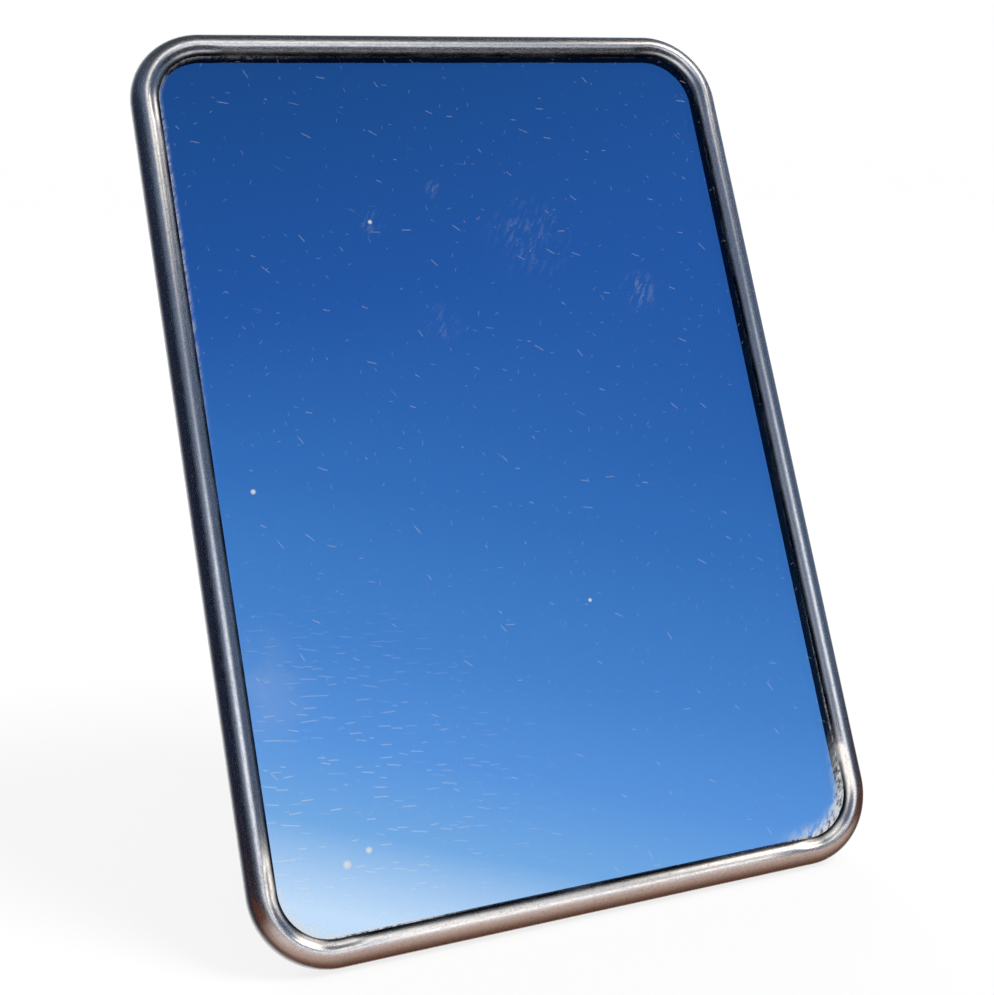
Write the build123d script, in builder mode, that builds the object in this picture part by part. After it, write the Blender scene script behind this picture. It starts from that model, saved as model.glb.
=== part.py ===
"""Barber mirror: a glass mirror in a round metal bead, with a folding wire leg and a hanging ring.

It stands on the lower side of its bead and on its opened leg, leaning back. +X is to the right
of someone who looks into the mirror, -Y is towards them and +Z is up. The origin lies on the
table, in the middle of the space that the standing mirror takes up.
"""

from build123d import *
import os
from math import cos, hypot, radians, sin

# Driving dimensions, in millimetres and degrees.

# Whole mirror
width = 170.0
height = 240.0
corner_r = 20.0         # outer radius of the bead's corners
lean = 28.0             # how far the mirror leans back from upright

# Sheets held in the bead, from the front
glass_t = 3.0
silver_t = 0.1          # silver, copper and paint coats
card_t = 1.1
plate_t = 0.8
edge_gap = 0.5          # room between the sheets' edges and the tube
arris = 0.4             # ground-off edge of the glass

# Bead: a tube slit along its inner side
bead_wall = 0.7
lip_cover = 2.15        # from the tube's centre line in to the edge of the slit
butt_gap = 0.3          # between the tube's ends, in the middle of the lower side

# Tongue in the bead's ends
sleeve_length = 36.0
sleeve_gap = 0.05

# Stiffening rib pressed into the back plate
rib_r = 3.0
rib_height = 0.8
rib_inset = 18.0        # from the bead's centre line
rib_corner = 14.0
rib_clear = 6.0         # below the hanger strap

# Wire leg
wire_r = 1.5
pivot_up = 165.0        # from the lower side's centre line up to the pivot
pivot_out = 4.0         # from the back plate out to the pivot
open_angle = 45.0       # between the opened leg and the mirror
shank_gap = 0.5         # between an ear and the start of the wire's bend
pivot_bend = 3.5
foot_bend = 10.0
foot_spread = 68.0      # between the shanks at the foot
pin_reach = 2.5         # how far the wire's ends stand inside the ears
wire_end_bevel = 0.5

# Hinge plate
hinge_w = 44.0
hinge_h = 26.0
hinge_t = 1.0
hinge_corner = 4.0
bend_relief = 1.0
ear_base = 17.0
ear_r = 3.4
ear_bend = 0.8
pivot_gap = 0.08        # round the wire, in the ears
stop_gap = 0.2
stop_at = 6.0           # from the pivot along the opened leg
stop_length = 5.0
stop_w = 6.5

# Rivets
rivet_r = 1.25
rivet_gap = 0.05
rivet_head_r = 2.3
rivet_head_h = 1.2
rivet_tail_r = 2.0
rivet_tail_h = 0.8
tail_room = 0.3
rivet_spread_x = 26.0   # between the hinge plate's rivets
rivet_spread_up = 16.0

# Hanging ring and its strap
ring_wire_r = 1.0
ring_r = 11.0           # centre line of the ring
eye_gap = 0.6           # round the ring's wire, in the strap's eye
eye_drop = 8.0          # from the upper side's centre line down to the eye
strap_t = 0.6
strap_w = 6.0
strap_taper = 6.0       # from the eye to where the strap's two layers meet
strap_tail = 18.0       # from the eye to the strap's end
strap_end_round = 2.0
strap_margin = 0.5      # between a rivet's head and the end of the flat it sits on

# Worked out from these.

slot = glass_t + silver_t + card_t + plate_t
bore_r = hypot(slot / 2, lip_cover)
bead_r = bore_r + bead_wall
line_w = width - 2 * bead_r
line_h = height - 2 * bead_r
line_corner = corner_r - bead_r
sheet_reach = lip_cover - edge_gap
sheet_w = line_w + 2 * sheet_reach
sheet_h = line_h + 2 * sheet_reach
sheet_corner = line_corner + sheet_reach

# The standing mirror reaches back to its leg's foot or, if it leans far, to its upper side.
lean_sin, lean_cos = sin(radians(lean)), cos(radians(lean))
leg_tilt = radians(open_angle - lean)
pivot_depth = slot / 2 + pivot_out
pivot_z = bead_r + pivot_up * lean_cos - pivot_depth * lean_sin
leg_length = (pivot_z - wire_r) / cos(leg_tilt)
foot_back = pivot_up * lean_sin + pivot_depth * lean_cos + leg_length * sin(leg_tilt)
back_reach = max(foot_back + wire_r, line_h * lean_sin + bead_r)
bead_y = (bead_r - back_reach) / 2

dome_r = (rivet_head_r**2 + rivet_head_h**2) / (2 * rivet_head_h)

eye_r = ring_wire_r + eye_gap
eye_outer_r = eye_r + strap_t
eye_up = line_h - eye_drop
eye_depth = slot / 2 + eye_outer_r

# face runs through the middle of the slit, with its origin in the middle of the lower side and
# its y up the mirror. side is face seen from the mirror's right, with its x up the mirror.
face = Plane(origin=(0, bead_y, bead_r), x_dir=(1, 0, 0), z_dir=(0, -lean_cos, lean_sin))
side = Plane(origin=face.origin, x_dir=face.y_dir, z_dir=face.x_dir)
glass_front = face.offset(slot / 2)
plate_back = face.offset(-slot / 2)
plate_front = plate_back.offset(plate_t)

# leg holds the opened wire, with its y down the leg. leg_side is leg seen from the right.
pivot = side.from_local_coords((pivot_up, -pivot_depth, 0))
leg = Plane(origin=pivot, x_dir=(1, 0, 0), z_dir=(0, cos(leg_tilt), sin(leg_tilt)))
leg_side = Plane(origin=pivot, x_dir=leg.y_dir, z_dir=face.x_dir)

hinge_rivet_places = [
    (x * rivet_spread_x / 2, pivot_up + y * rivet_spread_up / 2) for x in (-1, 1) for y in (-1, 1)
]
upper_rivet_drop = strap_taper + strap_t / 2 + strap_margin + rivet_head_r
lower_rivet_drop = strap_tail - strap_margin - rivet_head_r
strap_rivet_places = [(0, eye_up - upper_rivet_drop), (0, eye_up - lower_rivet_drop)]


def sheet(front, thickness, inset=0.0):
    """A sheet held in the bead, from its front plane back."""
    with BuildSketch(front) as outline:
        with Locations((0, line_h / 2)):
            RectangleRounded(sheet_w - 2 * inset, sheet_h - 2 * inset, sheet_corner - inset)
    extrude(outline.sketch, amount=-thickness)


def holes(places, radius):
    """Round holes through the piece, square to the mirror."""
    with BuildSketch(face) as rounds:
        with Locations(places):
            Circle(radius)
    extrude(rounds.sketch, amount=height, both=True, mode=Mode.SUBTRACT)


def rivets(places, grip):
    """Rivets through the back plate and the metal of thickness grip that lies behind it."""
    seat = slot / 2 + grip
    inside = slot / 2 - plate_t
    for x, up in places:
        centre = face.from_local_coords((x, up, 0))
        with BuildSketch(Plane(origin=centre, x_dir=face.x_dir, z_dir=face.y_dir)) as half:
            with BuildLine():
                RadiusArc((0, seat + rivet_head_h), (rivet_head_r, seat), dome_r)
                Polyline(
                    (rivet_head_r, seat),
                    (rivet_r, seat),
                    (rivet_r, inside),
                    (rivet_tail_r, inside),
                    (rivet_tail_r, inside - rivet_tail_h),
                    (0, inside - rivet_tail_h),
                    (0, seat + rivet_head_h),
                )
            make_face()
        revolve(half.sketch, axis=Axis(centre, face.z_dir))


# Bead, swept from one side of its butt joint round to the other
with BuildPart() as frame_bead:
    with BuildLine(face) as bead_line:
        FilletPolyline(
            (butt_gap / 2, 0),
            (line_w / 2, 0),
            (line_w / 2, line_h),
            (-line_w / 2, line_h),
            (-line_w / 2, 0),
            (-butt_gap / 2, 0),
            radius=line_corner,
        )
    with BuildSketch(side.offset(butt_gap / 2)):
        Circle(bead_r)
        Circle(bore_r, mode=Mode.SUBTRACT)
        with Locations((bead_r / 2, 0)):
            Rectangle(bead_r, slot, mode=Mode.SUBTRACT)
    sweep()

# Tongue that fills the bead's bore behind the edges of the sheets
with BuildPart() as joint_sleeve:
    with BuildSketch(side):
        Circle(bore_r - sleeve_gap)
        with Locations((bore_r - lip_cover, 0)):
            Rectangle(2 * bore_r, 2 * bore_r, mode=Mode.SUBTRACT)
    extrude(amount=sleeve_length / 2, both=True)

# Glass, and the coats behind it
with BuildPart() as mirror_glass:
    sheet(glass_front, glass_t)
    chamfer(faces().filter_by(face).edges(), length=arris)

with BuildPart() as mirror_silvering:
    sheet(glass_front.offset(-glass_t), silver_t, inset=arris)

# Card, cleared over the rivets' tails
with BuildPart() as packing_card:
    sheet(plate_front.offset(card_t), card_t)
    holes(hinge_rivet_places + strap_rivet_places, rivet_tail_r + tail_room)

# Back plate, with a round rib pressed out of it below the hanger
with BuildPart() as back_plate:
    sheet(plate_front, plate_t)
    with BuildLine(plate_back) as rib_line:
        rib_x = line_w / 2 - rib_inset
        rib_top = eye_up - strap_tail - rib_clear
        FilletPolyline(
            (-rib_x, rib_inset),
            (rib_x, rib_inset),
            (rib_x, rib_top),
            (-rib_x, rib_top),
            radius=rib_corner,
            close=True,
        )
    along = rib_line.line % 0
    across = Plane(origin=rib_line.line @ 0, x_dir=face.z_dir.cross(along), z_dir=along)
    for radius, front, mode in ((rib_r, 0, Mode.ADD), (rib_r - plate_t, plate_t, Mode.SUBTRACT)):
        with BuildSketch(across):
            with Locations((0, rib_r - rib_height)):
                Circle(radius)
            with Locations((0, (front - rib_height) / 2)):
                Rectangle(2 * rib_r, front + rib_height, mode=Mode.INTERSECT)
        sweep(path=rib_line.line, mode=mode)
    holes(hinge_rivet_places + strap_rivet_places, rivet_r + rivet_gap)

# Hinge plate: a base, two ears bent up from it, and a stop bent out from each ear
with BuildPart() as hinge_plate:
    with BuildSketch(plate_back):
        with Locations((0, pivot_up)):
            base_w = hinge_w - 2 * (hinge_t + ear_bend + bend_relief)
            RectangleRounded(base_w, hinge_h, hinge_corner)
            Rectangle(hinge_w, ear_base)
    extrude(amount=-hinge_t)
    with BuildSketch(side.offset(hinge_w / 2)):
        with Locations((pivot_up, -(slot + hinge_t) / 2)):
            Rectangle(ear_base, hinge_t)
        with Locations((pivot_up, -pivot_depth)):
            Circle(ear_r)
        make_hull()
    extrude(amount=-hinge_t)
    mirror(about=Plane.YZ)
    up_edges = edges().filter_by(Axis(face.origin, face.y_dir)).group_by(Axis.X)
    fillet(up_edges[1] + up_edges[-2], radius=ear_bend)
    up_edges = edges().filter_by(Axis(face.origin, face.y_dir)).group_by(Axis.X)
    fillet(up_edges[0] + up_edges[-1], radius=ear_bend + hinge_t)
    with BuildSketch(leg_side.offset(hinge_w / 2)):
        Circle(ear_r)
        with Locations((stop_at, wire_r + stop_gap + hinge_t / 2)):
            Rectangle(stop_length, hinge_t)
        make_hull()
    extrude(amount=-hinge_t)
    with BuildSketch(leg.offset(wire_r + stop_gap)):
        with Locations(((hinge_w + stop_w) / 2 - hinge_t, stop_at)):
            Rectangle(stop_w, stop_length)
    extrude(amount=hinge_t)
    mirror(about=Plane.YZ)
    with BuildSketch(leg_side):
        Circle(wire_r + pivot_gap)
    extrude(amount=hinge_w, both=True, mode=Mode.SUBTRACT)
    holes(hinge_rivet_places, rivet_r + rivet_gap)

with BuildPart() as hinge_rivets:
    rivets(hinge_rivet_places, hinge_t)

# Wire leg, from one end in its ear round the foot to the other
with BuildPart() as wire_strut:
    with BuildLine(leg) as wire_line:
        pin_end = hinge_w / 2 - hinge_t - pin_reach
        shank_x = hinge_w / 2 + shank_gap + pivot_bend
        FilletPolyline(
            (pin_end, 0),
            (shank_x, 0),
            (foot_spread / 2, leg_length),
            (-foot_spread / 2, leg_length),
            (-shank_x, 0),
            (-pin_end, 0),
            radius=(pivot_bend, foot_bend, foot_bend, pivot_bend),
        )
    with BuildSketch(leg_side.offset(pin_end)):
        Circle(wire_r)
    sweep()
    chamfer(faces().filter_by(Axis.X).edges(), length=wire_end_bevel)

# Strap folded round the ring, its two layers riveted to the back plate
with BuildPart() as hanger_strap:
    with BuildSketch(side):
        with Locations((eye_up, -eye_depth)):
            Circle(eye_outer_r)
        with Locations((eye_up - strap_taper, -slot / 2 - strap_t)):
            Rectangle(strap_t, 2 * strap_t)
        make_hull()
        with Locations((eye_up - (strap_tail + strap_taper) / 2, -slot / 2 - strap_t)):
            Rectangle(strap_tail - strap_taper, 2 * strap_t)
        with Locations((eye_up, -eye_depth)):
            Circle(eye_r, mode=Mode.SUBTRACT)
    extrude(amount=strap_w / 2, both=True)
    outward_edges = edges().filter_by(Axis(face.origin, face.z_dir))
    fillet(outward_edges.group_by(Axis(face.origin, face.y_dir))[0], radius=strap_end_round)
    holes(strap_rivet_places, rivet_r + rivet_gap)

with BuildPart() as hanger_rivets:
    rivets(strap_rivet_places, 2 * strap_t)

# Ring, hanging straight down from the strap's eye
with BuildPart() as hanging_ring:
    eye = side.from_local_coords((eye_up, -eye_depth, 0))
    with BuildSketch(Plane(origin=eye, x_dir=(0, 1, 0), z_dir=(1, 0, 0))):
        Circle(ring_wire_r)
    revolve(axis=Axis(eye - Vector(0, 0, ring_r), (0, 1, 0)))

pieces = {
    "frame_bead": frame_bead,
    "joint_sleeve": joint_sleeve,
    "mirror_glass": mirror_glass,
    "mirror_silvering": mirror_silvering,
    "packing_card": packing_card,
    "back_plate": back_plate,
    "hinge_plate": hinge_plate,
    "hinge_rivets": hinge_rivets,
    "wire_strut": wire_strut,
    "hanger_strap": hanger_strap,
    "hanger_rivets": hanger_rivets,
    "hanging_ring": hanging_ring,
}
os.makedirs("parts", exist_ok=True)
for label, piece in pieces.items():
    piece.part.label = label
    export_step(piece.part, f"parts/{label}.step")
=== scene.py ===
"""Looks of the barber mirror: finishes, wear and a plain studio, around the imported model.

The mirror leans back from the camera. Its glass shows a clear sky. Its metal shows cards that go
all the way round, with a dark side, a bright horizon and brown ground.
"""

from math import asin, ceil, cos, degrees, exp, hypot, pi, radians, sin

import bmesh
import bpy
from mathutils import Euler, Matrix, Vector, noise


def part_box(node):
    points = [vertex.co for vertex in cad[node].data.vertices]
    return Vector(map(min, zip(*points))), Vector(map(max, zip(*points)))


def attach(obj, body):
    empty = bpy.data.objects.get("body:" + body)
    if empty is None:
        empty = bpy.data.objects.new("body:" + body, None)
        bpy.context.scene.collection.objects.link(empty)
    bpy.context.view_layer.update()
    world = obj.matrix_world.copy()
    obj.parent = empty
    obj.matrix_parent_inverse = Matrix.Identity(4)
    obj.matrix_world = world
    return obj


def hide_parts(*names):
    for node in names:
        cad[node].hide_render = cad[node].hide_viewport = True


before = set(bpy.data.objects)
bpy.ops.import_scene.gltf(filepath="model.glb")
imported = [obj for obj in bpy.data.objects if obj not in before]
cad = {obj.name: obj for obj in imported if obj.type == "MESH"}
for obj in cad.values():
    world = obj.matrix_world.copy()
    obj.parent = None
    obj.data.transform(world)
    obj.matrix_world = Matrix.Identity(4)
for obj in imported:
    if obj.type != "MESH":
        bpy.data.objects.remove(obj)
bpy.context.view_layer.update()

MM = 0.001

# Sizes that the looks share with the model
GLASS_T = 3 * MM
SLOT = 5 * MM           # between the lips of the bead
LIP_COVER = 2.15 * MM   # from the bead's centre line in to the edge of the slit
BEAD_WALL = 0.7 * MM
BORE_R = hypot(SLOT / 2, LIP_COVER)
BEAD_R = BORE_R + BEAD_WALL
CORNER_R = 20 * MM
EDGE_GAP = 0.5 * MM     # room between the glass's edge and the tube
ARRIS = 0.4 * MM        # ground off the glass's edges

# Sizes of the looks alone
SEAM = 0.05 * MM        # between the bead's ends, closer than in the model, as in the photograph
# Grime and painted crevice shade reach this far up the bead's flank from its edge
GRIME_AND_SHADE_REACH = 1.7 * MM  # up the bead's flank from its edge
SKIN = 0.02 * MM        # keeps faces that touch from lying in one plane

# The mirror's own axes: origin in the middle of the bead's lower line, up along it, out of its face
bead_low, bead_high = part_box("frame_bead")
line_low = Vector((0, bead_low.y + BEAD_R, bead_low.z + BEAD_R))
line_high = Vector((0, bead_high.y - BEAD_R, bead_high.z - BEAD_R))
RIGHT = Vector((1, 0, 0))
UP = (line_high - line_low).normalized()
OUT = RIGHT.cross(UP)
LINE_W = bead_high.x - bead_low.x - 2 * BEAD_R
LINE_H = (line_high - line_low).length
LINE_CORNER = CORNER_R - BEAD_R
LEAN = asin(UP.y)
MIDDLE = (line_low + line_high) / 2


def on_face(x, up, out):
    """A point given in the mirror's own axes."""
    return line_low + RIGHT * x + UP * up + OUT * out


def smooth(value, low, high):
    """0 below low, 1 above high, and a smooth step between them."""
    share = min(max((value - low) / (high - low), 0), 1)
    return share * share * (3 - 2 * share)


def add(name, data):
    """An object for the data, in the scene."""
    made = bpy.data.objects.new(name, data)
    bpy.context.scene.collection.objects.link(made)
    return made


# Node building

# Where the Mix node keeps its sockets for colours
MIX_SHARE, MIX_FIRST, MIX_SECOND = 0, 6, 7
MIX_RESULT = 2


class Shade:
    """One material, and short ways to add nodes to it."""

    def __init__(self, name):
        self.material = bpy.data.materials.new(name)
        self.material.use_nodes = True
        self.tree = self.material.node_tree
        self.tree.nodes.clear()

    def feed(self, socket, source):
        """Links a socket to another one, or gives it a value."""
        if isinstance(source, bpy.types.NodeSocket):
            self.tree.links.new(source, socket)
        else:
            socket.default_value = source

    def node(self, kind, inputs=(), **settings):
        """A node with its settings, and with a link or a value for some of its inputs."""
        made = self.tree.nodes.new("ShaderNode" + kind)
        for key, value in settings.items():
            setattr(made, key, value)
        for socket, source in dict(inputs).items():
            self.feed(made.inputs[socket], source)
        return made

    def calc(self, operation, *values):
        return self.node("Math", enumerate(values), operation=operation).outputs[0]

    def vector(self, operation, *values):
        made = self.node("VectorMath", enumerate(values), operation=operation)
        return made.outputs["Value" if operation in ("LENGTH", "DOT_PRODUCT", "DISTANCE") else "Vector"]

    def place(self):
        """Where a point of the piece lies at rest."""
        return self.node("TexCoord").outputs["Object"]

    def face_place(self):
        """The same, in the mirror's own axes."""
        turn = Euler((LEAN - pi / 2, 0, 0))
        shift = turn.to_matrix() @ line_low
        inputs = {"Vector": self.place(), "Location": -shift, "Rotation": turn}
        return self.node("Mapping", inputs).outputs[0]

    def stretched(self, place, *scale):
        return self.vector("MULTIPLY", place, scale)

    def turned(self, place, angle):
        """The place turned about the third axis."""
        inputs = {"Vector": place, "Angle": angle}
        return self.node("VectorRotate", inputs, rotation_type="Z_AXIS").outputs[0]

    def noise(self, place, scale, detail=2, roughness=0.5):
        inputs = {"Vector": place, "Scale": scale, "Detail": detail, "Roughness": roughness}
        return self.node("TexNoise", inputs).outputs[0]

    def between(self, value, low, high, to_low=0.0, to_high=1.0):
        """A smooth step from to_low, where value is low, to to_high, where it is high."""
        inputs = {"Value": value, "From Min": low, "From Max": high, "To Min": to_low, "To Max": to_high}
        return self.node("MapRange", inputs, interpolation_type="SMOOTHSTEP").outputs[0]

    def mix(self, share, first, second):
        """The first colour where share is 0, and the second where it is 1."""
        made = self.node("Mix", {MIX_SHARE: share}, data_type="RGBA")
        for socket, colour in ((MIX_FIRST, first), (MIX_SECOND, second)):
            self.feed(made.inputs[socket], (*colour, 1) if isinstance(colour, tuple) else colour)
        return made.outputs[MIX_RESULT]

    def bump(self, height, distance, strength=1.0):
        inputs = {"Height": height, "Distance": distance, "Strength": strength}
        return self.node("Bump", inputs).outputs[0]

    def finish(self, shader):
        """Ends the material in a shader."""
        output = self.node("OutputMaterial")
        self.tree.links.new(shader.outputs[0], output.inputs["Surface"])
        return self.material

    def principled(self, **inputs):
        """Ends the material in one shader, with underscores for the spaces in its sockets' names."""
        named = {}
        for key, value in inputs.items():
            plain_colour = isinstance(value, tuple) and len(value) == 3
            named[key.replace("_", " ")] = (*value, 1) if plain_colour else value
        return self.finish(self.node("BsdfPrincipled", named))

    def dashes(self, place, cell, length, width, share, turn=pi):
        """Short strokes, one in some of the cells: their mask, brighter in some than in others."""
        cells = self.node("TexVoronoi", {"Vector": place, "Scale": 1 / cell}, voronoi_dimensions="2D")
        chance = self.node("SeparateColor", {"Color": cells.outputs["Color"]}).outputs
        away = self.vector("SUBTRACT", place, cells.outputs["Position"])
        stroke = self.turned(away, self.calc("MULTIPLY", chance[0], turn))
        along, aside, _ = self.node("SeparateXYZ", {"Vector": stroke}).outputs
        reach = self.calc("MULTIPLY_ADD", chance[1], length, length / 4)
        far = self.between(self.calc("DIVIDE", self.calc("ABSOLUTE", along), reach), 0.5, 1)
        inside = self.calc("SUBTRACT", 1, far)
        thin = self.between(self.calc("ABSOLUTE", aside), width / 4, width / 2, 1, 0)
        there = self.between(chance[2], 1 - share, 1 - share / 3)
        return self.calc("MULTIPLY", self.calc("MULTIPLY", inside, thin), there)

    def depth(self, face_place):
        """How far a point of the face lies in from the bead's centre line."""
        middle = (0, LINE_H / 2, 0)
        # The 1 is more than any point's place out of the face, which leaves that axis out
        to_arc = (LINE_W / 2 - LINE_CORNER, LINE_H / 2 - LINE_CORNER, 1)
        from_middle = self.vector("ABSOLUTE", self.vector("SUBTRACT", face_place, middle))
        past = self.vector("SUBTRACT", from_middle, to_arc)
        outside = self.vector("LENGTH", self.vector("MAXIMUM", past, (0, 0, 0)))
        x, y, _ = self.node("SeparateXYZ", {"Vector": past}).outputs
        inside = self.calc("MINIMUM", self.calc("MAXIMUM", x, y), 0)
        return self.calc("SUBTRACT", LINE_CORNER, self.calc("ADD", outside, inside))

    def near(self, face_place, x, up, radius):
        """1 at a spot of the face, falling to 0 at a radius from it."""
        flat = self.vector("MULTIPLY", face_place, (1, 1, 0))
        return self.between(self.vector("DISTANCE", flat, (x, up, 0)), 0, radius, 1, 0)


# Materials of the object


def bead_chrome():
    """Bright plating, rubbed along the tube, with small pits and stains, and grime with painted crevice
    shade beside the glass.
    """
    shade = Shade("bead_chrome")
    names = ("run", "turn", "lip")
    run, turn, lip = (shade.node("Attribute", attribute_name=name).outputs["Fac"] for name in names)
    around = shade.node("Attribute", attribute_name="around").outputs["Vector"]
    tube = shade.node("CombineXYZ", {"X": run, "Y": turn}).outputs[0]
    place = shade.place()
    lines = shade.noise(shade.stretched(tube, 0.1, 1, 1), 3500, detail=3)
    ripples = shade.noise(shade.stretched(tube, 0.35, 1, 1), 700, detail=2)
    clouds = shade.noise(place, 90, detail=4)
    grain = shade.noise(place, 1500, detail=2, roughness=0.7)
    pits = shade.node("TexVoronoi", {"Vector": place, "Scale": 420}).outputs["Distance"]
    pit = shade.between(pits, 0.05, 0.13, 1, 0)
    # Beside the glass the plating darkens nearly to black: grime, and painted shade in the crevice between
    # the bead and the glass
    grime = shade.calc("MULTIPLY", shade.between(lip, 0.1, 0.8), shade.between(clouds, 0.3, 0.6, 0.55, 1))
    stained = shade.mix(shade.between(clouds, 0.5, 0.75, 0, 0.35), (0.93, 0.92, 0.92), (0.80, 0.76, 0.72))
    rubbed = shade.mix(shade.between(lines, 0.45, 0.7, 0, 0.3), stained, (0.62, 0.62, 0.64))
    speckled = shade.mix(shade.between(grain, 0.52, 0.66, 0, 0.3), rubbed, (0.45, 0.44, 0.44))
    pitted = shade.mix(shade.calc("MULTIPLY", pit, 0.5), speckled, (0.25, 0.20, 0.17))
    colour = shade.mix(grime, pitted, (0.05, 0.05, 0.055))
    dull = shade.between(lines, 0.35, 0.75, 0.17, 0.27)
    duller = shade.calc("MULTIPLY_ADD", grain, 0.06, dull)
    height = shade.calc("MULTIPLY_ADD", ripples, 0.8, shade.calc("MULTIPLY", lines, 0.2))
    return shade.principled(
        Base_Color=colour,
        Metallic=1.0,
        Roughness=duller,
        Anisotropic=0.75,
        Tangent=around,
        Normal=shade.bump(height, 0.01 * MM, 0.3),
    )


GLASS_TINT = (0.97, 0.99, 0.985)
GLASS_IOR = 1.5


def clean_glass():
    """Float glass, for the faces that nothing has touched."""
    shade = Shade("clean_glass")
    tint = shade.mix(shade.noise(shade.place(), 20), GLASS_TINT, (0.98, 0.995, 0.99))
    return shade.principled(Base_Color=tint, Roughness=0.0, IOR=GLASS_IOR, Transmission_Weight=1.0)


# Rubbed places on the glass: x and height on the face, and radius, in mm, and weight
SCUFFS = (
    (17, 175, 16, 0.09),
    (47, 158, 8, 0.16),
    (-13, 152, 7, 0.12),
    (-27, 181, 5, 0.12),
    (-8, 190, 4, 0.14),
)
# Bright specks: x, height and radius in mm
SPECKS = (
    (-60.4, 19.2, 1.4),
    (-54.6, 21.6, 1.1),
    (-27.4, 181.2, 0.8),
    (-69.2, 111.8, 0.9),
    (14.7, 73.8, 0.7),
)
SPECK_WEIGHT = 1.3
# White wear, and in the last row a painted reflection of the bead's edge up the left side: x, height and
# radius in mm, how far in from the bead, and weight
WEAR_AND_EDGE_REFLECTION = (
    (78, 5, 30, 6.5, 1.0),
    (-76, 6, 18, 4.5, 1.0),
    (-56, 0, 36, 2.6, 0.9),
    (79, 30, 48, 1.9, 0.6),
    (-80, 185, 90, 2.5, 0.5),
)
# Dust and wear on the glass, with painted glints, haze and reflection, and the most of it that any place
# has
DUST_AND_SHEEN_COLOUR = (0.90, 0.96, 1.0)
MOST_DUST_AND_SHEEN = 0.96


def worn_glass():
    """The front of the glass: short scratches, faint scuffs, specks and white wear in its low corners, and
    painted glints, a painted haze and a painted reflection of the bead's edge.
    """
    shade = Shade("worn_glass")
    face = shade.face_place()
    depth = shade.depth(face)
    clouds = shade.noise(face, 60, detail=5, roughness=0.6)
    slanted = shade.turned(face, radians(35))
    fibres = shade.noise(shade.stretched(slanted, 1, 0.25, 1), 900, detail=3, roughness=0.7)
    patches = shade.noise(face, 170, detail=4, roughness=0.6)
    streaks = shade.noise(shade.stretched(slanted, 1, 0.3, 1), 1100, detail=3, roughness=0.75)

    # Layers of marks, each with its weight: scratches all over, and level ones in the low left, made whiter
    # there as painted glints of light on them
    glints_low_left = shade.near(face, -66 * MM, 22 * MM, 78 * MM)
    level_marks = shade.dashes(face, 3.4 * MM, 2.6 * MM, 0.36 * MM, 0.75, turn=0.3)
    layers = [
        (shade.dashes(face, 9 * MM, 1.5 * MM, 0.36 * MM, 0.6, turn=1.2), 0.20),
        (shade.dashes(face, 4.3 * MM, 0.7 * MM, 0.3 * MM, 0.55), 0.12),
        (shade.calc("MULTIPLY", level_marks, glints_low_left), 0.38),
    ]
    for x, up, radius, weight in SCUFFS:
        spot = shade.near(face, x * MM, up * MM, radius * MM)
        layers.append((shade.calc("MULTIPLY", spot, shade.between(fibres, 0.48, 0.7)), weight))
    for x, up, radius in SPECKS:
        layers.append((shade.near(face, x * MM, up * MM, radius * MM), SPECK_WEIGHT))
    # A faint cloudy whitening at the lower left: painted light from the hazy sky
    painted_haze_spot = shade.near(face, -74 * MM, 64 * MM, 20 * MM)
    layers.append((shade.calc("MULTIPLY", painted_haze_spot, shade.between(clouds, 0.35, 0.7)), 0.10))

    # Beside the bead: a thin pale line all round, broken up, which is a painted reflection of the bead's
    # edge, and white wear streaks in the low corners
    line = shade.between(depth, LIP_COVER + 0.5 * MM, LIP_COVER + 1.5 * MM, 1, 0)
    layers.append((shade.calc("MULTIPLY", line, shade.between(patches, 0.4, 0.62)), 0.06))
    broken = shade.between(streaks, 0.36, 0.62, 0.1, 1)
    for x, up, radius, reach, weight in WEAR_AND_EDGE_REFLECTION:
        spot = shade.near(face, x * MM, up * MM, radius * MM)
        rim = shade.between(depth, LIP_COVER, LIP_COVER + reach * MM, 1, 0)
        worn = shade.between(shade.calc("MULTIPLY", spot, rim), 0.02, 0.7)
        layers.append((shade.calc("MULTIPLY", worn, broken), weight))
    dust_and_sheen = 0
    for mask, weight in layers:
        dust_and_sheen = shade.calc("MULTIPLY_ADD", mask, weight, dust_and_sheen)

    # The marks lie on the outer side only, so the silver behind them shows no dark copy of them
    behind = shade.node("NewGeometry").outputs["Backfacing"]
    dust_and_sheen = shade.calc("MULTIPLY", shade.calc("MINIMUM", dust_and_sheen, MOST_DUST_AND_SHEEN), shade.calc("SUBTRACT", 1, behind))
    return shade.principled(
        Base_Color=shade.mix(dust_and_sheen, GLASS_TINT, DUST_AND_SHEEN_COLOUR),
        Roughness=0.0,
        IOR=GLASS_IOR,
        Transmission_Weight=shade.calc("SUBTRACT", 1, dust_and_sheen),
    )


def silvering():
    """Silver behind the glass, gone speckled along its edge."""
    shade = Shade("worn_silver")
    face = shade.face_place()
    specks = shade.noise(face, 900, detail=3, roughness=0.75)
    patches = shade.noise(face, 170, detail=4, roughness=0.6)
    edge = shade.between(shade.depth(face), LIP_COVER, 5.0 * MM, 0.12, 0)
    uneven = shade.calc("MULTIPLY_ADD", specks, 0.9, shade.calc("MULTIPLY", patches, 0.6))
    white = shade.between(shade.calc("ADD", edge, uneven), 1.22, 1.42)
    return shade.principled(
        Base_Color=shade.mix(white, (0.93, 0.94, 0.94), (0.93, 0.95, 0.97)),
        Metallic=shade.calc("SUBTRACT", 1, white),
        Roughness=shade.calc("MULTIPLY", white, 0.6),
    )


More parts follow.
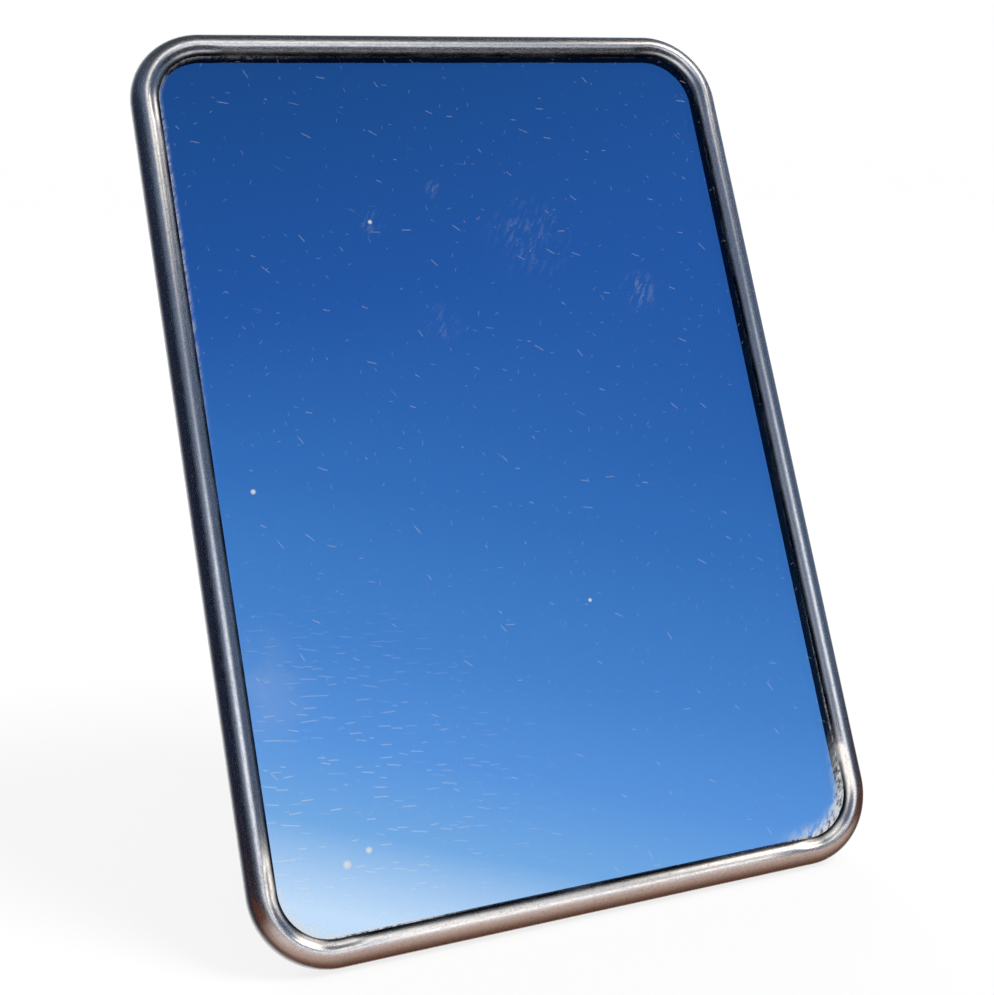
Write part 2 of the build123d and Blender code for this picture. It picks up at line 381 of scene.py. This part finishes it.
def zinc_sheet():
    """Zinc-coated sheet: faint crystals, rubbed along its length, stained near its edges."""
    shade = Shade("zinc_sheet")
    face = shade.face_place()
    depth = shade.depth(face)
    ragged = shade.node("TexNoise", {"Vector": face, "Scale": 300}).outputs["Color"]
    wobble = shade.vector("MULTIPLY_ADD", ragged, (2 * MM,) * 3, face)
    crystal = shade.node("TexVoronoi", {"Vector": wobble, "Scale": 130}, voronoi_dimensions="2D")
    tone = shade.node("SeparateColor", {"Color": crystal.outputs["Color"]}).outputs[0]
    rubbed = shade.noise(shade.stretched(face, 1, 0.06, 1), 2600, detail=4, roughness=0.7)
    clouds = shade.noise(face, 45, detail=5, roughness=0.6)
    marks = shade.dashes(face, 17 * MM, 7 * MM, 0.25 * MM, 0.6)
    spots = shade.noise(face, 420, detail=4, roughness=0.7)
    grime_edge = shade.between(depth, 2.5 * MM, 9 * MM, 1, 0)
    grime = shade.calc("MULTIPLY", grime_edge, shade.between(clouds, 0.35, 0.6))
    rust_edge = shade.between(depth, 2 * MM, 30 * MM, 1, 0.2)
    rust = shade.calc("MULTIPLY", shade.between(spots, 0.62, 0.7), rust_edge)
    crystals = shade.mix(tone, (0.63, 0.64, 0.655), (0.69, 0.70, 0.71))
    clouded = shade.mix(shade.between(clouds, 0.4, 0.75, 0, 0.3), crystals, (0.54, 0.53, 0.52))
    dirty = shade.mix(shade.calc("MULTIPLY", grime, 0.6), clouded, (0.20, 0.18, 0.16))
    rusty = shade.mix(shade.calc("MULTIPLY", rust, 0.7), dirty, (0.26, 0.13, 0.07))
    colour = shade.mix(shade.calc("MULTIPLY", marks, 0.5), rusty, (0.80, 0.81, 0.82))
    crystal_dull = shade.between(tone, 0, 1, 0.36, 0.42)
    dull = shade.calc("ADD", crystal_dull, shade.between(rubbed, 0.3, 0.7, -0.06, 0.08))
    height = shade.calc("MULTIPLY_ADD", rubbed, 0.6, shade.calc("MULTIPLY", tone, 0.05))
    return shade.principled(
        Base_Color=colour,
        Metallic=shade.between(rust, 0, 1, 0.92, 0.3),
        Roughness=shade.calc("MULTIPLY_ADD", rust, 0.3, dull),
        Normal=shade.bump(height, 0.03 * MM, 0.5),
    )


def nickel(name, base, dull, lines):
    """Thin nickel: rubbed lines, small pits, and brown where it has worn.

    Dull is its roughness where it is least rubbed, and lines says how its rubbed lines are stretched.
    """
    shade = Shade(name)
    place = shade.place()
    rubbed = shade.noise(shade.stretched(place, *lines), 2400, detail=4, roughness=0.7)
    clouds = shade.noise(place, 140, detail=5, roughness=0.65)
    pits = shade.node("TexVoronoi", {"Vector": place, "Scale": 700}).outputs["Distance"]
    pit = shade.calc("MULTIPLY", shade.between(pits, 0.06, 0.16, 1, 0), shade.between(clouds, 0.45, 0.6))
    worn = shade.between(clouds, 0.56, 0.72, 0, 0.65)
    browned = shade.mix(worn, base, (0.40, 0.34, 0.27))
    colour = shade.mix(shade.calc("MULTIPLY", pit, 0.7), browned, (0.16, 0.11, 0.08))
    line_dull = shade.between(rubbed, 0.3, 0.75, dull, dull + 0.16)
    height = shade.calc("SUBTRACT", shade.calc("MULTIPLY", rubbed, 0.5), pit)
    return shade.principled(
        Base_Color=colour,
        Metallic=1.0,
        Roughness=shade.calc("ADD", line_dull, shade.calc("MULTIPLY", worn, 0.18)),
        Normal=shade.bump(height, 0.02 * MM, 0.5),
    )


def grey_board():
    """Pulp board, with darker and lighter fibres."""
    shade = Shade("grey_board")
    place = shade.place()
    fibres = shade.noise(shade.stretched(place, 1, 0.2, 1), 1800, detail=4, roughness=0.7)
    clouds = shade.noise(place, 120, detail=3)
    pulp = shade.mix(shade.between(fibres, 0.3, 0.7), (0.36, 0.32, 0.27), (0.50, 0.46, 0.39))
    colour = shade.mix(shade.between(clouds, 0.4, 0.7, 0, 0.4), pulp, (0.30, 0.27, 0.23))
    return shade.principled(Base_Color=colour, Roughness=0.9, Normal=shade.bump(fibres, 0.05 * MM))


# Bead

# How deep the tube's flank is pressed to the glass, and over what length a bend's press fades out
PRESS_IN_BENDS = 0.36 * MM
PRESS_IN_SIDES = 0.20 * MM
PRESS_IN_LOWER = 0.05 * MM
BEND_FADE = 2.2 * MM
# Where the pressed flank lies, turned from the way in to the glass, and how wide it is, in degrees
FLANK_ANGLE = 65
FLANK_WIDTH = 16
# Ripples of the tube: depth, length along it, waves round it, and their own place in the noise
RIPPLES = ((0.018 * MM, 16 * MM, 0.6, 3.7), (0.006 * MM, 3.5 * MM, 1.5, 9.1))
# How finely the tube is made: along its sides, in each bend, round its outer face and round its bore
SIDE_STEP = 1.5 * MM
BEND_STEPS = 28
OUTER_STEPS = 76
BORE_STEPS = 20
LIP_ROUNDING = 0.16 * MM


def bead_stations():
    """Along the bead's line, from one end to the other: place, way in to the glass, run so far, and press.

    Press is how deep the tube's flank is pressed to the glass. It is deepest where the tube was bent
    round a corner, which reaches some way into each straight side, and least in the lower side.
    """
    half_w, corner = LINE_W / 2, LINE_CORNER
    arc_x, arc_up = half_w - corner, LINE_H - corner
    # Each side's start and end, how far the bends before and after it reach into it, and its press
    straights = (
        ((SEAM / 2, 0), (arc_x, 0), None, 5.0 * MM, PRESS_IN_LOWER),
        ((half_w, corner), (half_w, arc_up), 9.0 * MM, 7.0 * MM, PRESS_IN_SIDES),
        ((arc_x, LINE_H), (-arc_x, LINE_H), 4.0 * MM, 4.6 * MM, PRESS_IN_SIDES),
        ((-half_w, arc_up), (-half_w, corner), 5.5 * MM, 6.5 * MM, PRESS_IN_SIDES),
        ((-arc_x, 0), (-SEAM / 2, 0), 6.0 * MM, None, PRESS_IN_LOWER),
    )
    centres = ((arc_x, corner), (arc_x, arc_up), (-arc_x, arc_up), (-arc_x, corner))
    run = 0.0
    made = []
    for index, (start, end, bend_before, bend_after, press) in enumerate(straights):
        start, end = Vector(start), Vector(end)
        length = (end - start).length
        way = (end - start) / length
        inward = Vector((-way.y, way.x))
        count = ceil(length / SIDE_STEP)
        for number in range(count + 1):
            gone = length * number / count
            bend = 0.0
            for reach, away in ((bend_before, gone), (bend_after, length - gone)):
                if reach is not None:
                    bend = max(bend, 1 - smooth(away, reach - BEND_FADE, reach))
            pressed = press + (PRESS_IN_BENDS - press) * bend
            made.append((start + way * gone, inward, run + gone, pressed))
        run += length
        if index < len(centres):
            centre = Vector(centres[index])
            first = -inward
            for number in range(1, BEND_STEPS):
                angle = pi / 2 * number / BEND_STEPS
                spoke = first * cos(angle) + way * sin(angle)
                made.append((centre + spoke * corner, -spoke, run + corner * angle, PRESS_IN_BENDS))
            run += corner * pi / 2
    return made


def bead_section():
    """The tube's section, once round: way in, way out, angle on the outer face or None, and lip.

    Lip is 1 at the edges of the slit and in the bore, and falls to 0 up the front flank.
    """
    lip_out = SLOT / 2 + SKIN
    edge = asin(lip_out / BEAD_R)
    first = edge + LIP_ROUNDING / BEAD_R
    inner = asin(lip_out / BORE_R)

    def rounded_edge(side):
        """The two points that round one edge of the slit."""
        sharp_in, sharp_out = BEAD_R * cos(edge), side * lip_out
        flat_in = sharp_in - LIP_ROUNDING
        round_in = (BEAD_R * cos(first) + flat_in + 2 * sharp_in) / 4
        round_out = (side * BEAD_R * sin(first) + sharp_out + 2 * sharp_out) / 4
        return [(round_in, round_out, None, 1.0), (flat_in, sharp_out, None, 1.0)]

    points = []
    for number in range(OUTER_STEPS + 1):
        angle = first + (2 * pi - 2 * first) * number / OUTER_STEPS
        lip = max(0.0, 1 - (angle - first) * BEAD_R / GRIME_AND_SHADE_REACH)
        points.append((BEAD_R * cos(angle), BEAD_R * sin(angle), angle, lip))
    points += rounded_edge(-1)
    for number in range(BORE_STEPS + 1):
        angle = 2 * pi - inner - (2 * pi - 2 * inner) * number / BORE_STEPS
        points.append((BORE_R * cos(angle), BORE_R * sin(angle), None, 1.0))
    points += reversed(rounded_edge(1))
    return points


def dent(angle, run, press):
    """How far the tube's outer face lies in from a true circle: its ripples and its pressed flank."""
    ripples = sum(
        deep * (1 + noise.noise(Vector((run / length, angle * waves, start))))
        for deep, length, waves, start in RIPPLES
    )
    flank = exp(-(((degrees(angle) - FLANK_ANGLE) / FLANK_WIDTH) ** 2))
    uneven = 1 + 0.1 * noise.noise(Vector((run / (5 * MM), 0, 1.3)))
    return ripples + press * uneven * flank


def finish_mesh(mesh):
    """An object for the mesh, with every face looking outwards."""
    work = bmesh.new()
    work.from_mesh(mesh)
    bmesh.ops.recalc_face_normals(work, faces=work.faces)
    work.to_mesh(mesh)
    work.free()
    return add(mesh.name, mesh)


def plated_bead():
    """The bead as bent: a slit tube that is a little uneven, with its butt joint open by a hair."""
    stations, section = bead_stations(), bead_section()
    around = len(section)
    last = (len(stations) - 1) * around
    verts, faces, runs, turns, lips = [], [], [], [], []
    for point, inward, run, press in stations:
        for inside, outside, angle, lip in section:
            shrink = 1.0 if angle is None else 1 - dent(angle, run, press) / BEAD_R
            spot = point + inward * (inside * shrink)
            verts.append(on_face(spot.x, spot.y, outside * shrink))
            runs.append(run)
            turns.append(0.0 if angle is None else angle * BEAD_R)
            lips.append(lip)
    for low in range(0, last, around):
        high = low + around
        for number in range(around):
            after = (number + 1) % around
            faces.append((low + number, high + number, high + after, low + after))
    faces.append(list(reversed(range(around))))
    faces.append(list(range(last, last + around)))
    mesh = bpy.data.meshes.new("plated_bead")
    mesh.from_pydata(verts, [], faces)

    # What the plating reads: how far along the tube, how far round it, the lip, and the way round it
    for name, values in (("run", runs), ("turn", turns), ("lip", lips)):
        mesh.attributes.new(name, "FLOAT", "POINT").data.foreach_set("value", values)
    ways = []
    for low in range(0, last + around, around):
        ring = verts[low:low + around]
        for number in range(around):
            ways.extend((ring[(number + 1) % around] - ring[number - 1]).normalized())
    mesh.attributes.new("around", "FLOAT_VECTOR", "POINT").data.foreach_set("vector", ways)
    mesh.shade_smooth()
    mesh.set_sharp_from_angle(angle=radians(60))
    return finish_mesh(mesh)


# Glass


def glass_sheet():
    """The glass: a flat sheet with ground edges, its back a hair in front of the silver."""
    reach = LIP_COVER - EDGE_GAP
    front, back = SLOT / 2, SLOT / 2 - GLASS_T + SKIN
    half_w, half_h, corner = LINE_W / 2 + reach, LINE_H / 2 + reach, LINE_CORNER + reach
    levels = ((front, ARRIS), (front - ARRIS, 0), (back + ARRIS, 0), (back, ARRIS))
    steps = 16
    verts, faces = [], []
    for out, inset in levels:
        for quarter, (side_x, side_up) in enumerate(((1, -1), (1, 1), (-1, 1), (-1, -1))):
            centre = Vector((side_x * (half_w - corner), LINE_H / 2 + side_up * (half_h - corner)))
            for number in range(steps + 1):
                angle = pi / 2 * (quarter - 1 + number / steps)
                spot = centre + Vector((cos(angle), sin(angle))) * (corner - inset)
                verts.append(on_face(spot.x, spot.y, out))
    around = len(verts) // len(levels)
    last = len(verts) - around
    for low in range(0, last, around):
        high = low + around
        for number in range(around):
            after = (number + 1) % around
            faces.append((low + number, low + after, high + after, high + number))
    faces.append(list(range(around)))
    faces.append(list(range(last, last + around)))
    mesh = bpy.data.meshes.new("glass_sheet")
    mesh.from_pydata(verts, [], faces)
    return finish_mesh(mesh)


# Pieces and their materials


def dress(piece, material):
    """Gives a piece, or a CAD node, its material."""
    slots = piece.data.materials
    if len(slots):
        slots[0] = material
    else:
        slots.append(material)


bead = plated_bead()
dress(bead, bead_chrome())
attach(bead, "mirror")
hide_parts("frame_bead")

glass = glass_sheet()
glass.data.materials.append(worn_glass())
glass.data.materials.append(clean_glass())
WORN, CLEAN = 0, 1
for face in glass.data.polygons:
    face.material_index = WORN if face.normal.dot(OUT) > 0.99 else CLEAN
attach(glass, "mirror")
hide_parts("mirror_glass")

SHEET_NICKEL = (0.66, 0.64, 0.60)
WIRE_NICKEL = (0.70, 0.68, 0.64)

dress(cad["mirror_silvering"], silvering())
dress(cad["packing_card"], grey_board())
dress(cad["back_plate"], zinc_sheet())
dress(cad["joint_sleeve"], nickel("plain_steel", (0.45, 0.44, 0.42), 0.35, (0.1, 1, 1)))
dress(cad["hinge_plate"], nickel("hinge_nickel", SHEET_NICKEL, 0.24, (0.1, 1, 1)))
dress(cad["hanger_strap"], nickel("strap_nickel", SHEET_NICKEL, 0.24, (1, 0.1, 0.1)))
dress(cad["wire_strut"], nickel("leg_nickel", WIRE_NICKEL, 0.16, (1, 0.15, 0.06)))
dress(cad["hanging_ring"], nickel("ring_nickel", WIRE_NICKEL, 0.18, (1, 1, 1)))
rivet_steel = nickel("rivet_steel", (0.60, 0.59, 0.56), 0.26, (1, 1, 1))
dress(cad["hinge_rivets"], rivet_steel)
dress(cad["hanger_rivets"], rivet_steel)


# Studio

# Strength of the white air as a light. Where it is seen, its strength is 1.
AMBIENT = 0.5
# The floor is white where nothing shades it: its glow, and the light that falls on it, add up to 1.
FLOOR_GLOW = 0.80
FLOOR_PAPER = 0.21
FLOOR_HALF = 3.0
# The surroundings are tilted from level, because the horizon in the photographed mirror is.
TILT = Euler((-radians(25), 0, 0))


def light_paths(shade):
    """1 for rays from the camera, from gloss and through glass, 0 for the rest."""
    rays = shade.node("LightPath").outputs
    seen = shade.calc("MAXIMUM", rays["Is Camera Ray"], rays["Is Glossy Ray"])
    return shade.calc("MAXIMUM", seen, rays["Is Transmission Ray"])


class WorldShade(Shade):
    """The same short ways for a world."""

    def __init__(self, world):
        world.use_nodes = True
        self.tree = world.node_tree
        self.tree.nodes.clear()


def studio_air():
    """Air that is plain white where it is seen, and dimmer as a light."""
    world = bpy.data.worlds.new("studio")
    bpy.context.scene.world = world
    shade = WorldShade(world)
    strength = shade.calc("MAXIMUM", light_paths(shade), AMBIENT)
    background = shade.node("Background", {"Color": (1, 1, 1, 1), "Strength": strength})
    shade.tree.links.new(background.outputs[0], shade.node("OutputWorld").inputs["Surface"])


def flat_piece(name, corners):
    """A flat piece of the studio, from its corners in turn."""
    mesh = bpy.data.meshes.new(name)
    mesh.from_pydata(corners, [], [(0, 1, 2, 3)])
    return add(name, mesh)


def floor():
    """A pale floor that goes out to white, and keeps the object's shadow."""
    half = FLOOR_HALF
    corners = [(-half, -half, 0), (half, -half, 0), (half, half, 0), (-half, half, 0)]
    made = flat_piece("studio_floor", corners)
    shade = Shade("pale_floor")
    glow = shade.node("Emission", {"Color": (FLOOR_GLOW,) * 3 + (1,), "Strength": light_paths(shade)})
    paper = shade.node("BsdfDiffuse", {"Color": (FLOOR_PAPER,) * 3 + (1,)})
    both = shade.node("AddShader", {0: glow.outputs[0], 1: paper.outputs[0]})
    made.data.materials.append(shade.finish(both))
    made.visible_glossy = False
    made.visible_transmission = False


def ball(name):
    """A large ball round the object."""
    rows, columns, radius = 24, 48, 5.0
    verts = [(0, 0, radius)]
    for row in range(1, rows):
        rise = pi / 2 - pi * row / rows
        wide, high = radius * cos(rise), radius * sin(rise)
        for column in range(columns):
            turn = 2 * pi * column / columns
            verts.append((wide * cos(turn), wide * sin(turn), high))
    verts.append((0, 0, -radius))
    bottom = len(verts) - 1
    lowest = bottom - columns
    faces = []
    for column in range(columns):
        after = (column + 1) % columns
        faces.append((0, 1 + column, 1 + after))
        faces.append((bottom, lowest + after, lowest + column))
        for low in range(1, lowest, columns):
            high = low + columns
            faces.append((low + column, high + column, high + after, low + after))
    mesh = bpy.data.meshes.new(name)
    mesh.from_pydata(verts, [], faces)
    made = add(name, mesh)
    made.location = MIDDLE
    made.rotation_euler = TILT
    return made


def reflect_only(made, material):
    """Gives a piece its glow, which lights nothing and isn't seen by the camera."""
    material.cycles.emission_sampling = "NONE"
    made.data.materials.append(material)
    made.visible_camera = False
    made.visible_diffuse = False
    made.visible_shadow = False
    made.visible_volume_scatter = False


def bearings(shade):
    """Azimuth from straight ahead and elevation above the horizon, in degrees, and the direction itself."""
    way = shade.vector("NORMALIZE", shade.place())
    x, y, z = shade.node("SeparateXYZ", {"Vector": way}).outputs
    azimuth = shade.calc("DEGREES", shade.calc("ARCTAN2", x, shade.calc("MULTIPLY", y, -1)))
    elevation = shade.calc("DEGREES", shade.calc("ARCSINE", z))
    return azimuth, elevation, way


def heading(azimuth, elevation):
    """The direction at an azimuth and elevation, in degrees, in the ball's own axes."""
    a, e = radians(azimuth), radians(elevation)
    return sin(a) * cos(e), -cos(a) * cos(e), sin(e)


# Sky colours from the horizon up, by elevation in degrees
SKY = (
    (-5, (0.62, 0.80, 1.06)),
    (-1.5, (0.195, 0.437, 0.85)),
    (2, (0.112, 0.32, 0.79)),
    (6.5, (0.068, 0.24, 0.66)),
    (13, (0.040, 0.172, 0.54)),
    (21.7, (0.020, 0.103, 0.41)),
    (31, (0.013, 0.074, 0.285)),
)


def sky(shade, azimuth, elevation):
    """A clear sky, deeper higher up and to the right, for the glass to show."""
    aside = shade.calc("MULTIPLY", shade.calc("SUBTRACT", azimuth, 20), 0.4)
    lower = shade.between(elevation, 12, 25, 1, 0)
    level = shade.calc("MULTIPLY_ADD", aside, lower, elevation)
    low, high = SKY[0][0], SKY[-1][0]
    share = shade.calc("DIVIDE", shade.calc("SUBTRACT", level, low), high - low)
    ramp = shade.node("ValToRGB", {"Fac": share})
    stops = ramp.color_ramp.elements
    while len(stops) < len(SKY):
        stops.new(0.5)
    for stop, (degree, colour) in zip(stops, SKY):
        stop.position = (degree - low) / (high - low)
        stop.color = (*colour, 1)
    return ramp.outputs[0]


# What the metal shows: each card's azimuth, elevation and radius in degrees, its colour and its cover
CARDS = (
    (180, -4, 76, (0.85, 0.85, 0.85), 0.98),         # pale, behind the mirror
    (9, -1, 25, (1.1, 1.16, 1.28), 0.95),            # haze on the horizon
    (10, 80, 52, (0.040, 0.042, 0.047), 0.97),       # dark, overhead
    (14, 36, 17, (1.3, 1.27, 1.23), 0.95),           # cloud
    (48, 37, 14, (3.5, 3.2, 2.8), 0.95),             # warm cloud
    (66, 12, 22, (0.045, 0.075, 0.13), 0.8),         # slate, to the right
    (-97, 8, 68, (0.010, 0.014, 0.032), 0.98),       # dark, to the left
    (-53, 12, 27, (0.002, 0.004, 0.012), 0.97),      # black, to the left and ahead
)
PLAIN_GROUND = (0.024, 0.022, 0.025)
PLAIN_SKY = (0.091, 0.127, 0.205)


def surroundings():
    """A ball of surroundings: sharp reflections and rays through glass see its sky, the metal its cards."""
    shade = Shade("surroundings")
    azimuth, elevation, way = bearings(shade)
    colour = shade.mix(shade.between(elevation, -2, 2), PLAIN_GROUND, PLAIN_SKY)
    for turn, height, radius, tint, cover in CARDS:
        toward = shade.vector("DOT_PRODUCT", way, heading(turn, height))
        share = shade.between(toward, cos(radians(radius)), 1, 0, cover)
        colour = shade.mix(share, colour, tint)
    rays = shade.node("LightPath").outputs
    clear = shade.calc("MAXIMUM", rays["Is Singular Ray"], rays["Is Transmission Ray"])
    seen = shade.mix(clear, colour, sky(shade, azimuth, elevation))
    reflect_only(ball("surroundings"), shade.finish(shade.node("Emission", {"Color": seen})))


def metal_only(made, shade, colour):
    """Gives a card its glow, which only the metal shows: sharp reflections in the glass pass through it."""
    sharp = shade.node("LightPath").outputs["Is Singular Ray"]
    glow = shade.node("Emission", {"Color": colour})
    clear = shade.node("BsdfTransparent")
    both = shade.node("MixShader", {0: sharp, 1: glow.outputs[0], 2: clear.outputs[0]})
    made.visible_transmission = False
    reflect_only(made, shade.finish(both))


def ground_card():
    """Brown ground at the mirror's foot, with a painted shadow where it meets the foot and painted sunlight
    beyond, dark further off, which only the metal shows.

    It is tilted as the horizon is, and goes forward from the foot.
    """
    half, reach = 1.5, 2.0
    made = flat_piece("ground_card", [(-half, 0, 0), (half, 0, 0), (half, -reach, 0), (-half, -reach, 0)])
    drop = BEAD_R + 1 * MM
    made.location = line_low - TILT.to_matrix() @ Vector((0, 0, drop))
    made.rotation_euler = TILT
    shade = Shade("ground_card")
    x, y, _ = shade.node("SeparateXYZ", {"Vector": shade.place()}).outputs
    ahead = shade.calc("MULTIPLY", y, -1)
    # Painted shadow right at the foot, then painted sunlit ground
    foot_shadow_to_sun = shade.mix(shade.between(ahead, 1 * MM, 9 * MM), (0.10, 0.040, 0.022), (0.42, 0.29, 0.24))
    paler = shade.mix(shade.between(ahead, 6 * MM, 30 * MM), foot_shadow_to_sun, (0.62, 0.52, 0.48))
    beside = shade.calc("ABSOLUTE", x)
    off_side = shade.between(beside, LINE_W / 2, LINE_W / 2 + 40 * MM)
    browner = shade.mix(off_side, paler, (0.10, 0.035, 0.02))
    colour = shade.mix(shade.between(ahead, 90 * MM, 150 * MM), browner, (0.020, 0.019, 0.022))
    metal_only(made, shade, colour)


def white_card():
    """A bright strip close in front of the foot, for the bead's lower side to show."""
    away, half_w, half_h = 70 * MM, 62 * MM, 10 * MM
    way = TILT.to_matrix() @ Vector(heading(22, 14))
    along = RIGHT * half_w
    rise = way.cross(RIGHT).normalized() * half_h
    made = flat_piece("white_card", [-along - rise, along - rise, along + rise, rise - along])
    made.location = line_low + way * away
    shade = Shade("white_card")
    uneven = shade.noise(shade.place(), 20)
    metal_only(made, shade, shade.mix(uneven, (1.15, 1.08, 1.02), (1.45, 1.4, 1.35)))


def shine_unseen(name, data):
    """An object for a light, which nothing shows."""
    made = add(name, data)
    made.visible_camera = False
    made.visible_glossy = False
    made.visible_transmission = False
    return made


def lamp(name, place, size, power):
    """A soft square lamp turned to the mirror."""
    data = bpy.data.lights.new(name, "AREA")
    data.size = size
    data.energy = power
    made = shine_unseen(name, data)
    made.location = place
    made.rotation_euler = (MIDDLE - Vector(place)).to_track_quat("-Z", "Y").to_euler()


def sun(name, way, angle, strength):
    """An even light from far off, which gives the floor its shadow."""
    data = bpy.data.lights.new(name, "SUN")
    data.angle = radians(angle)
    data.energy = strength
    made = shine_unseen(name, data)
    made.rotation_euler = Vector(way).to_track_quat("Z", "Y").to_euler()


studio_air()
floor()
surroundings()
ground_card()
white_card()
lamp("back_lamp", (0.3, 1.3, 0.9), size=1.0, power=6)
sun("soft_key", (0.55, -0.25, 0.8), angle=25, strength=1.7)

# Camera, where the photograph was taken from
CAMERA_PLACE = (-0.15047, -0.37285, 0.20533)
CAMERA_AZIMUTH = radians(-22.0581)
CAMERA_ELEVATION = radians(15.7545)
LENS = 55.57            # for a 36 mm wide sensor

camera = bpy.data.objects.new("camera", bpy.data.cameras.new("camera"))
camera.data.lens = LENS
camera.data.sensor_width = 36
camera.data.clip_start = 0.01
camera.location = CAMERA_PLACE
camera.rotation_euler = (pi / 2 - CAMERA_ELEVATION, 0, CAMERA_AZIMUTH)
bpy.context.scene.collection.objects.link(camera)
bpy.context.scene.camera = camera
bpy.context.scene.view_settings.view_transform = "Standard"
